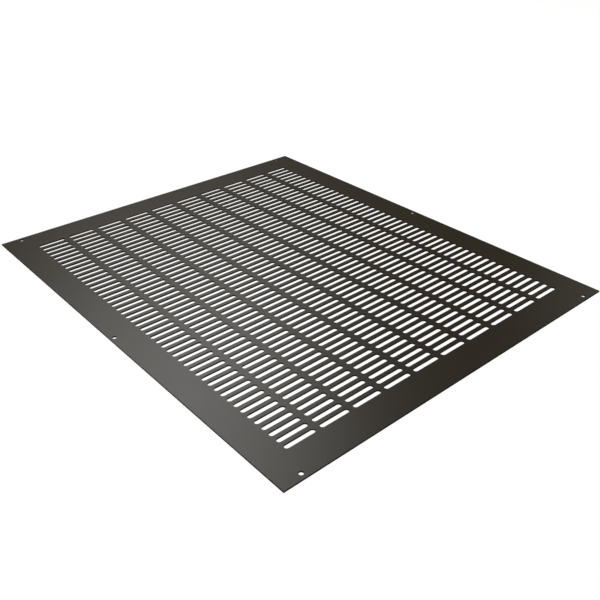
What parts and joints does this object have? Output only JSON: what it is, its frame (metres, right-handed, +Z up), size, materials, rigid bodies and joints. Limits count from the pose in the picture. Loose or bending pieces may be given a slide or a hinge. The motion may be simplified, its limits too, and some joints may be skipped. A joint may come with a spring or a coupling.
{
  "type": "slotted sheet metal vent panel",
  "caption": "Flat rectangular sheet metal vent panel with a field of narrow round-ended air slots and plain screw holes near its edges.",
  "frame": {"origin": "centre of the flat underside", "axes": "+Y along the panel's length, from row to row of slots; +X across it, along the slots; +Z up through the sheet's thickness"},
  "size_m": [0.412, 0.49, 0.0015],
  "materials": {
    "dark_coated_sheet": "satin black coat with a warm tinge"
  },
  "bodies": {
    "root": {"slotted_panel": "dark_coated_sheet"}
  },
  "joints": []
}
